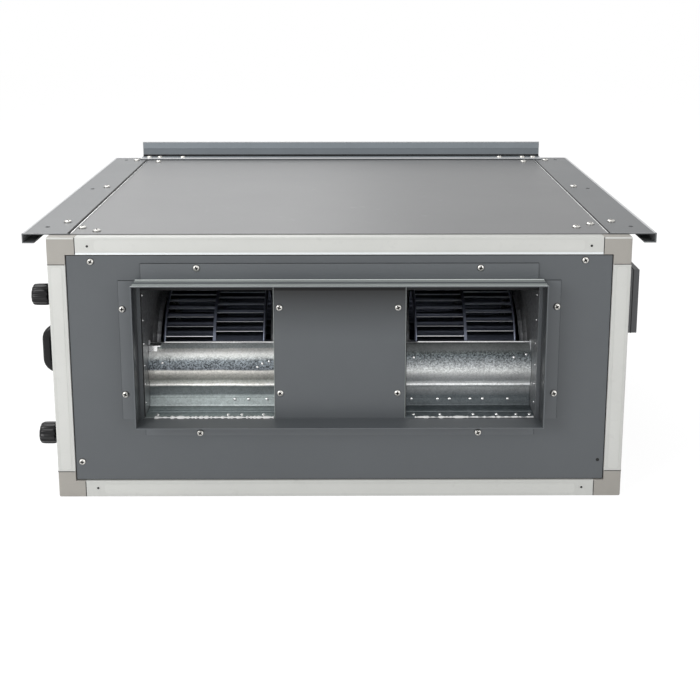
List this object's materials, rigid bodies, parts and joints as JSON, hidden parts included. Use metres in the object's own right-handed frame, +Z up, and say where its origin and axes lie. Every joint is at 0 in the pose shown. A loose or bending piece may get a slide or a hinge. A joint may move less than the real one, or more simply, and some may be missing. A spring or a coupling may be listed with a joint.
{
  "type": "fan coil unit",
  "caption": "Ducted fan coil unit: framed casing with hanger rails, twin bladed blowers behind a duct collar, coil, drain pan, sliding filter and a latched access door.",
  "frame": {"origin": "centre of the flat underside", "axes": "+X to the right when facing the two air outlets, along the longest side; +Y from the outlets to the return side; +Z up, away from the underside"},
  "size_m": [1.26, 0.965, 0.5951],
  "materials": {
    "frame_enamel": "off-white enamelled aluminium profile",
    "corner_plastic": "greige moulded corner",
    "panel_grey": "dark grey coated sheet",
    "galvanised": "galvanised sheet with spangle",
    "rail_grey": "light grey coated sheet",
    "angle_blue_grey": "blue-grey folded sheet",
    "blade_steel": "bright galvanised blades",
    "shaft_steel": "turned or pressed steel",
    "motor_enamel": "black enamel",
    "black_plastic": "black moulded plastic",
    "box_grey": "dark grey coated box",
    "fin_aluminium": "plain aluminium and copper coil",
    "filter_white": "white pleated filter medium"
  },
  "bodies": {
    "casing": {"bar_front_bottom": "frame_enamel", "bar_front_top": "frame_enamel", "bar_left_bottom": "frame_enamel", "bar_left_top": "frame_enamel", "bar_rear_bottom": "frame_enamel", "bar_rear_top": "frame_enamel", "bar_right_bottom": "frame_enamel", "bar_right_top": "frame_enamel", "bottom_panel": "panel_grey", "coil": "fin_aluminium", "coil_panel": "panel_grey", "collar_bottom": "galvanised", "collar_left": "galvanised", "collar_right": "galvanised", "collar_top": "galvanised", "corner_front_bottom_left": "corner_plastic", "corner_front_bottom_right": "corner_plastic", "corner_front_top_left": "corner_plastic", "corner_front_top_right": "corner_plastic", "corner_rear_bottom_left": "corner_plastic", "corner_rear_bottom_right": "corner_plastic", "corner_rear_top_left": "corner_plastic", "corner_rear_top_right": "corner_plastic", "drain_pan": "galvanised", "filter_rack": "galvanised", "front_panel": "panel_grey", "hanger_rail_left": "rail_grey", "hanger_rail_right": "rail_grey", "left_scroll_side_inner": "galvanised", "left_scroll_side_outer": "galvanised", "left_scroll_wrap": "galvanised", "left_tongue_plate": "galvanised", "lower_hinge_frame_half": "shaft_steel", "motor": "motor_enamel", "motor_cradle": "galvanised", "post_front_left": "frame_enamel", "post_front_right": "frame_enamel", "post_rear_left": "frame_enamel", "post_rear_right": "frame_enamel", "rear_top_angle": "angle_blue_grey", "right_panel": "panel_grey", "right_scroll_side_inner": "galvanised", "right_scroll_side_outer": "galvanised", "right_scroll_wrap": "galvanised", "right_tongue_plate": "galvanised", "side_mullion": "frame_enamel", "terminal_box": "box_grey", "terminal_box_lid": "box_grey", "top_panel": "rail_grey", "upper_hinge_frame_half": "shaft_steel"},
    "rotor": {"left_blower_wheel": "blade_steel", "right_blower_wheel": "blade_steel", "motor_shaft": "shaft_steel"},
    "access_door": {"access_door": "panel_grey", "door_handle": "black_plastic", "lower_hinge_door_half": "shaft_steel", "upper_hinge_door_half": "shaft_steel"},
    "upper_knob": {"upper_latch_knob": "black_plastic"},
    "lower_knob": {"lower_latch_knob": "black_plastic"},
    "filter": {"air_filter": "filter_white"}
  },
  "joints": [
    {"name": "rotor_spin", "type": "hinge", "parent": "casing", "child": "rotor", "pos_m": [0, -0.232, 0.25], "axis": [1, 0, 0], "continuous": true},
    {"name": "door_hinge", "type": "hinge", "parent": "casing", "child": "access_door", "pos_m": [-0.5833, 0.011, 0.275], "axis": [0, 0, -1], "range_deg": [0, 110]},
    {"name": "upper_latch", "type": "hinge", "parent": "access_door", "child": "upper_knob", "pos_m": [-0.575, -0.391, 0.413], "axis": [1, 0, 0], "range_deg": [0, 90]},
    {"name": "lower_latch", "type": "hinge", "parent": "access_door", "child": "lower_knob", "pos_m": [-0.575, -0.391, 0.111], "axis": [1, 0, 0], "range_deg": [0, 90]},
    {"name": "filter_slide", "type": "slide", "parent": "casing", "child": "filter", "axis": [-1, 0, 0], "range_m": [0, 1]}
  ]
}
